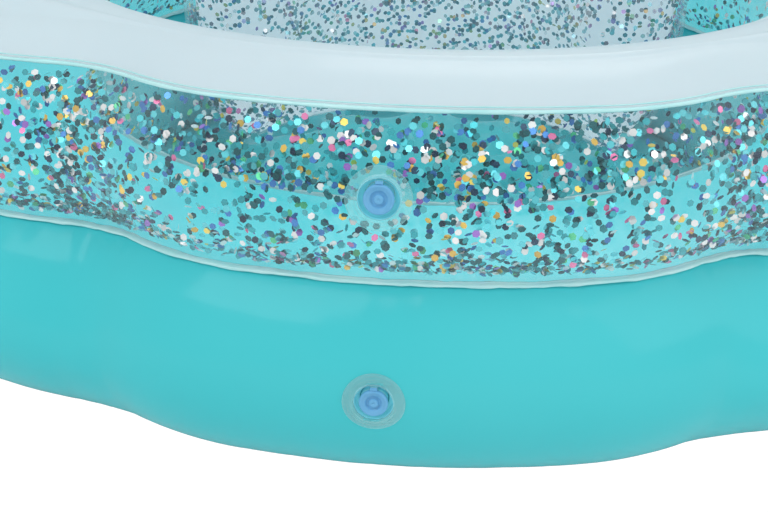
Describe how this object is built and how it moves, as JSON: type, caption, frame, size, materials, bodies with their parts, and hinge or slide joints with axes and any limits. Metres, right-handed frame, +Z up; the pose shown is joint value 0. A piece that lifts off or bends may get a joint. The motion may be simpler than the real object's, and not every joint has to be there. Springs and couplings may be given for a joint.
{
  "type": "inflatable pool float",
  "caption": "Sit-in inflatable float: two stacked air rings with a lobed outline round a seat well, an air floor, a crescent backrest and push-in valves.",
  "frame": {"origin": "on the ground under the middle of the float's bounding box, which is the middle of the seat well", "axes": "+Z up, backrest towards +Y, the front with its two valves towards -Y, +X to the right seen from the front"},
  "size_m": [1.1276, 0.9527, 0.3404],
  "materials": {
    "turquoise_film": "glossy soft vinyl sheet",
    "clear_film": "clear soft vinyl film",
    "white_film": "opaque satin soft vinyl sheet",
    "weld_bead": "milky heat weld",
    "clear_valve": "clear soft vinyl moulding",
    "stem_vinyl": "milky soft vinyl moulding",
    "blue_plug": "pale blue soft vinyl moulding",
    "flap_vinyl": "thin soft flap"
  },
  "bodies": {
    "float": {"base_ring_valve_flange": "clear_valve", "base_ring_valve_cup": "clear_valve", "top_ring_valve_flange": "clear_valve", "top_ring_valve_cup": "clear_valve", "floor_valve_flange": "clear_valve", "floor_valve_cup": "clear_valve", "backrest_valve_flange": "clear_valve", "backrest_valve_cup": "clear_valve", "backrest_back_film": "white_film", "backrest_front_film": "clear_film", "backrest_seam": "weld_bead", "base_inner_wall": "turquoise_film", "base_outer_wall": "turquoise_film", "bottom_sheet": "turquoise_film", "divider_sheet": "turquoise_film", "floor_top_sheet": "turquoise_film", "glitter_inner_wall": "clear_film", "glitter_outer_wall": "clear_film", "mid_weld_inner": "weld_bead", "mid_weld_outer": "weld_bead", "top_panel": "white_film", "top_weld_inner": "weld_bead", "top_weld_outer": "weld_bead"},
    "base_ring_stem": {"base_ring_valve_stem": "stem_vinyl"},
    "base_ring_plug": {"base_ring_valve_plug": "blue_plug", "base_ring_valve_strap": "blue_plug"},
    "base_ring_flap": {"base_ring_valve_flap": "flap_vinyl"},
    "top_ring_stem": {"top_ring_valve_stem": "stem_vinyl"},
    "top_ring_plug": {"top_ring_valve_plug": "blue_plug", "top_ring_valve_strap": "blue_plug"},
    "top_ring_flap": {"top_ring_valve_flap": "flap_vinyl"},
    "floor_stem": {"floor_valve_stem": "stem_vinyl"},
    "floor_plug": {"floor_valve_plug": "blue_plug", "floor_valve_strap": "blue_plug"},
    "floor_flap": {"floor_valve_flap": "flap_vinyl"},
    "backrest_stem": {"backrest_valve_stem": "stem_vinyl"},
    "backrest_plug": {"backrest_valve_plug": "blue_plug", "backrest_valve_strap": "blue_plug"},
    "backrest_flap": {"backrest_valve_flap": "flap_vinyl"}
  },
  "joints": [
    {"name": "base_ring_stem_slide", "type": "slide", "parent": "float", "child": "base_ring_stem", "axis": [-0.0339, -0.9963, 0.0785], "range_m": [0, 0.012]},
    {"name": "base_ring_plug_hinge", "type": "hinge", "parent": "base_ring_stem", "child": "base_ring_plug", "pos_m": [-0.01997, -0.47486, 0.105], "axis": [-0.9994, 0.034, 0], "range_deg": [0, 110]},
    {"name": "base_ring_flap_hinge", "type": "hinge", "parent": "base_ring_stem", "child": "base_ring_flap", "pos_m": [-0.01943, -0.45903, 0.09974], "axis": [0.9994, -0.034, 0], "range_deg": [0, 45], "stiffness_Nm_per_rad": 0.0006},
    {"name": "top_ring_stem_slide", "type": "slide", "parent": "float", "child": "top_ring_stem", "axis": [-0.0335, -0.9857, 0.165], "range_m": [0, 0.012]},
    {"name": "top_ring_plug_hinge", "type": "hinge", "parent": "top_ring_stem", "child": "top_ring_plug", "pos_m": [-0.0194, -0.45821, 0.23755], "axis": [-0.9994, 0.034, 0], "range_deg": [0, 110]},
    {"name": "top_ring_flap_hinge", "type": "hinge", "parent": "top_ring_stem", "child": "top_ring_flap", "pos_m": [-0.01888, -0.44291, 0.23093], "axis": [0.9994, -0.034, 0], "range_deg": [0, 45], "stiffness_Nm_per_rad": 0.0006},
    {"name": "floor_stem_slide", "type": "slide", "parent": "float", "child": "floor_stem", "axis": [0, 0, 1], "range_m": [0, 0.012]},
    {"name": "floor_plug_hinge", "type": "hinge", "parent": "floor_stem", "child": "floor_plug", "pos_m": [0, -0.1826, 0.0348], "axis": [1, 0, 0], "range_deg": [0, 110]},
    {"name": "floor_flap_hinge", "type": "hinge", "parent": "floor_stem", "child": "floor_flap", "pos_m": [0, -0.1786, 0.0186], "axis": [-1, 0, 0], "range_deg": [0, 45], "stiffness_Nm_per_rad": 0.0006},
    {"name": "backrest_stem_slide", "type": "slide", "parent": "float", "child": "backrest_stem", "axis": [0.2101, 0.8425, 0.496], "range_m": [0, 0.012]},
    {"name": "backrest_plug_hinge", "type": "hinge", "parent": "backrest_stem", "child": "backrest_plug", "pos_m": [0.06192, 0.24835, 0.31687], "axis": [0.9703, -0.2419, 0], "range_deg": [0, 110]},
    {"name": "backrest_flap_hinge", "type": "hinge", "parent": "backrest_stem", "child": "backrest_flap", "pos_m": [0.059, 0.23663, 0.30536], "axis": [-0.9703, 0.2419, 0], "range_deg": [0, 45], "stiffness_Nm_per_rad": 0.0006}
  ]
}
